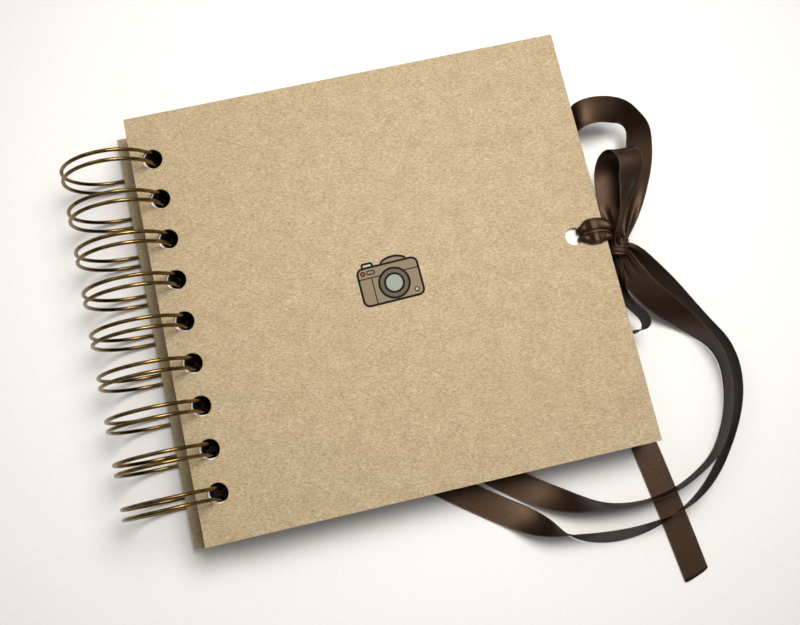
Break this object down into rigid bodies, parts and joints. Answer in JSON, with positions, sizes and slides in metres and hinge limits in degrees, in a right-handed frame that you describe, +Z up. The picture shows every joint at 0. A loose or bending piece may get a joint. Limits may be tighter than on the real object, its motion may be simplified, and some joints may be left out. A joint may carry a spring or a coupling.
{
  "type": "ring-bound scrapbook album",
  "caption": "Square scrapbook album with plain kraft covers and black card leaves on twin-loop wire rings, tied shut at the fore edge with a satin ribbon bow.",
  "frame": {"origin": "middle of the footprint of the whole album with its ribbons, on the table it lies on", "axes": "+X from the wire rings towards the bow, +Y from the album's lower edge to its upper edge, +Z up from the table"},
  "size_m": [0.2944, 0.2682, 0.0459],
  "materials": {
    "kraft_board": "uncoated recycled kraft board with a fine fibre speckle",
    "white_paper": "plain uncoated white paper",
    "black_card": "matt through-dyed black card",
    "antique_brass_wire": "antique brass plated steel wire, softly polished",
    "satin_ribbon": "dark brown single-faced satin with woven edges"
  },
  "bodies": {
    "back": {"back_cover": "kraft_board", "wire_loop_1": "antique_brass_wire", "wire_loop_2": "antique_brass_wire", "wire_loop_3": "antique_brass_wire", "wire_loop_4": "antique_brass_wire", "wire_loop_5": "antique_brass_wire", "wire_loop_6": "antique_brass_wire", "wire_loop_7": "antique_brass_wire", "wire_loop_8": "antique_brass_wire", "wire_loop_9": "antique_brass_wire", "ribbon_back_strap": "satin_ribbon", "ribbon_back_tail": "satin_ribbon", "bow_knot": "satin_ribbon", "bow_loop_large": "satin_ribbon", "bow_loop_small": "satin_ribbon", "bow_tail_outer": "satin_ribbon", "bow_tail_inner": "satin_ribbon", "bow_curl": "satin_ribbon"},
    "front": {"front_cover": "kraft_board", "ribbon_front_loop": "satin_ribbon"},
    "flyleaf_body": {"flyleaf": "white_paper"},
    "leaf_01_body": {"leaf_01": "black_card"},
    "leaf_02_body": {"leaf_02": "black_card"},
    "leaf_03_body": {"leaf_03": "black_card"},
    "leaf_04_body": {"leaf_04": "black_card"},
    "leaf_05_body": {"leaf_05": "black_card"},
    "leaf_06_body": {"leaf_06": "black_card"},
    "leaf_07_body": {"leaf_07": "black_card"},
    "leaf_08_body": {"leaf_08": "black_card"},
    "leaf_09_body": {"leaf_09": "black_card"},
    "leaf_10_body": {"leaf_10": "black_card"},
    "leaf_11_body": {"leaf_11": "black_card"},
    "leaf_12_body": {"leaf_12": "black_card"},
    "leaf_13_body": {"leaf_13": "black_card"},
    "leaf_14_body": {"leaf_14": "black_card"},
    "leaf_15_body": {"leaf_15": "black_card"},
    "leaf_16_body": {"leaf_16": "black_card"},
    "leaf_17_body": {"leaf_17": "black_card"},
    "leaf_18_body": {"leaf_18": "black_card"},
    "leaf_19_body": {"leaf_19": "black_card"},
    "leaf_20_body": {"leaf_20": "black_card"},
    "leaf_21_body": {"leaf_21": "black_card"},
    "leaf_22_body": {"leaf_22": "black_card"},
    "leaf_23_body": {"leaf_23": "black_card"},
    "leaf_24_body": {"leaf_24": "black_card"}
  },
  "joints": [
    {"name": "front_cover_hinge", "type": "hinge", "parent": "back", "child": "front", "pos_m": [-0.12418, 0.03261, 0.02304], "axis": [0, -1, 0], "range_deg": [0, 180]},
    {"name": "flyleaf_hinge", "type": "hinge", "parent": "back", "child": "flyleaf_body", "pos_m": [-0.12418, 0.03261, 0.02304], "axis": [0, -1, 0], "range_deg": [0, 175.5]},
    {"name": "leaf_01_hinge", "type": "hinge", "parent": "back", "child": "leaf_01_body", "pos_m": [-0.12418, 0.03261, 0.02304], "axis": [0, -1, 0], "range_deg": [0, 171]},
    {"name": "leaf_02_hinge", "type": "hinge", "parent": "back", "child": "leaf_02_body", "pos_m": [-0.12418, 0.03261, 0.02304], "axis": [0, -1, 0], "range_deg": [0, 164.07]},
    {"name": "leaf_03_hinge", "type": "hinge", "parent": "back", "child": "leaf_03_body", "pos_m": [-0.12418, 0.03261, 0.02304], "axis": [0, -1, 0], "range_deg": [0, 157.14]},
    {"name": "leaf_04_hinge", "type": "hinge", "parent": "back", "child": "leaf_04_body", "pos_m": [-0.12418, 0.03261, 0.02304], "axis": [0, -1, 0], "range_deg": [0, 150.21]},
    {"name": "leaf_05_hinge", "type": "hinge", "parent": "back", "child": "leaf_05_body", "pos_m": [-0.12418, 0.03261, 0.02304], "axis": [0, -1, 0], "range_deg": [0, 143.28]},
    {"name": "leaf_06_hinge", "type": "hinge", "parent": "back", "child": "leaf_06_body", "pos_m": [-0.12418, 0.03261, 0.02304], "axis": [0, -1, 0], "range_deg": [0, 136.35]},
    {"name": "leaf_07_hinge", "type": "hinge", "parent": "back", "child": "leaf_07_body", "pos_m": [-0.12418, 0.03261, 0.02304], "axis": [0, -1, 0], "range_deg": [0, 129.42]},
    {"name": "leaf_08_hinge", "type": "hinge", "parent": "back", "child": "leaf_08_body", "pos_m": [-0.12418, 0.03261, 0.02304], "axis": [0, -1, 0], "range_deg": [0, 122.49]},
    {"name": "leaf_09_hinge", "type": "hinge", "parent": "back", "child": "leaf_09_body", "pos_m": [-0.12418, 0.03261, 0.02304], "axis": [0, -1, 0], "range_deg": [0, 115.56]},
    {"name": "leaf_10_hinge", "type": "hinge", "parent": "back", "child": "leaf_10_body", "pos_m": [-0.12418, 0.03261, 0.02304], "axis": [0, -1, 0], "range_deg": [0, 108.63]},
    {"name": "leaf_11_hinge", "type": "hinge", "parent": "back", "child": "leaf_11_body", "pos_m": [-0.12418, 0.03261, 0.02304], "axis": [0, -1, 0], "range_deg": [0, 101.7]},
    {"name": "leaf_12_hinge", "type": "hinge", "parent": "back", "child": "leaf_12_body", "pos_m": [-0.12418, 0.03261, 0.02304], "axis": [0, -1, 0], "range_deg": [0, 94.77]},
    {"name": "leaf_13_hinge", "type": "hinge", "parent": "back", "child": "leaf_13_body", "pos_m": [-0.12418, 0.03261, 0.02304], "axis": [0, -1, 0], "range_deg": [0, 87.84]},
    {"name": "leaf_14_hinge", "type": "hinge", "parent": "back", "child": "leaf_14_body", "pos_m": [-0.12418, 0.03261, 0.02304], "axis": [0, -1, 0], "range_deg": [0, 80.91]},
    {"name": "leaf_15_hinge", "type": "hinge", "parent": "back", "child": "leaf_15_body", "pos_m": [-0.12418, 0.03261, 0.02304], "axis": [0, -1, 0], "range_deg": [0, 73.98]},
    {"name": "leaf_16_hinge", "type": "hinge", "parent": "back", "child": "leaf_16_body", "pos_m": [-0.12418, 0.03261, 0.02304], "axis": [0, -1, 0], "range_deg": [0, 67.05]},
    {"name": "leaf_17_hinge", "type": "hinge", "parent": "back", "child": "leaf_17_body", "pos_m": [-0.12418, 0.03261, 0.02304], "axis": [0, -1, 0], "range_deg": [0, 60.12]},
    {"name": "leaf_18_hinge", "type": "hinge", "parent": "back", "child": "leaf_18_body", "pos_m": [-0.12418, 0.03261, 0.02304], "axis": [0, -1, 0], "range_deg": [0, 53.19]},
    {"name": "leaf_19_hinge", "type": "hinge", "parent": "back", "child": "leaf_19_body", "pos_m": [-0.12418, 0.03261, 0.02304], "axis": [0, -1, 0], "range_deg": [0, 46.26]},
    {"name": "leaf_20_hinge", "type": "hinge", "parent": "back", "child": "leaf_20_body", "pos_m": [-0.12418, 0.03261, 0.02304], "axis": [0, -1, 0], "range_deg": [0, 39.33]},
    {"name": "leaf_21_hinge", "type": "hinge", "parent": "back", "child": "leaf_21_body", "pos_m": [-0.12418, 0.03261, 0.02304], "axis": [0, -1, 0], "range_deg": [0, 32.4]},
    {"name": "leaf_22_hinge", "type": "hinge", "parent": "back", "child": "leaf_22_body", "pos_m": [-0.12418, 0.03261, 0.02304], "axis": [0, -1, 0], "range_deg": [0, 25.47]},
    {"name": "leaf_23_hinge", "type": "hinge", "parent": "back", "child": "leaf_23_body", "pos_m": [-0.12418, 0.03261, 0.02304], "axis": [0, -1, 0], "range_deg": [0, 18.54]},
    {"name": "leaf_24_hinge", "type": "hinge", "parent": "back", "child": "leaf_24_body", "pos_m": [-0.12418, 0.03261, 0.02304], "axis": [0, -1, 0], "range_deg": [0, 11.61]}
  ],
  "couplings": [
    {"joint": "flyleaf_hinge", "follows": "front_cover_hinge", "ratio": 0.975},
    {"joint": "leaf_01_hinge", "follows": "front_cover_hinge", "ratio": 0.95},
    {"joint": "leaf_02_hinge", "follows": "front_cover_hinge", "ratio": 0.9115},
    {"joint": "leaf_03_hinge", "follows": "front_cover_hinge", "ratio": 0.873},
    {"joint": "leaf_04_hinge", "follows": "front_cover_hinge", "ratio": 0.8345},
    {"joint": "leaf_05_hinge", "follows": "front_cover_hinge", "ratio": 0.796},
    {"joint": "leaf_06_hinge", "follows": "front_cover_hinge", "ratio": 0.7575},
    {"joint": "leaf_07_hinge", "follows": "front_cover_hinge", "ratio": 0.719},
    {"joint": "leaf_08_hinge", "follows": "front_cover_hinge", "ratio": 0.6805},
    {"joint": "leaf_09_hinge", "follows": "front_cover_hinge", "ratio": 0.642},
    {"joint": "leaf_10_hinge", "follows": "front_cover_hinge", "ratio": 0.6035},
    {"joint": "leaf_11_hinge", "follows": "front_cover_hinge", "ratio": 0.565},
    {"joint": "leaf_12_hinge", "follows": "front_cover_hinge", "ratio": 0.5265},
    {"joint": "leaf_13_hinge", "follows": "front_cover_hinge", "ratio": 0.488},
    {"joint": "leaf_14_hinge", "follows": "front_cover_hinge", "ratio": 0.4495},
    {"joint": "leaf_15_hinge", "follows": "front_cover_hinge", "ratio": 0.411},
    {"joint": "leaf_16_hinge", "follows": "front_cover_hinge", "ratio": 0.3725},
    {"joint": "leaf_17_hinge", "follows": "front_cover_hinge", "ratio": 0.334},
    {"joint": "leaf_18_hinge", "follows": "front_cover_hinge", "ratio": 0.2955},
    {"joint": "leaf_19_hinge", "follows": "front_cover_hinge", "ratio": 0.257},
    {"joint": "leaf_20_hinge", "follows": "front_cover_hinge", "ratio": 0.2185},
    {"joint": "leaf_21_hinge", "follows": "front_cover_hinge", "ratio": 0.18},
    {"joint": "leaf_22_hinge", "follows": "front_cover_hinge", "ratio": 0.1415},
    {"joint": "leaf_23_hinge", "follows": "front_cover_hinge", "ratio": 0.103},
    {"joint": "leaf_24_hinge", "follows": "front_cover_hinge", "ratio": 0.0645}
  ]
}
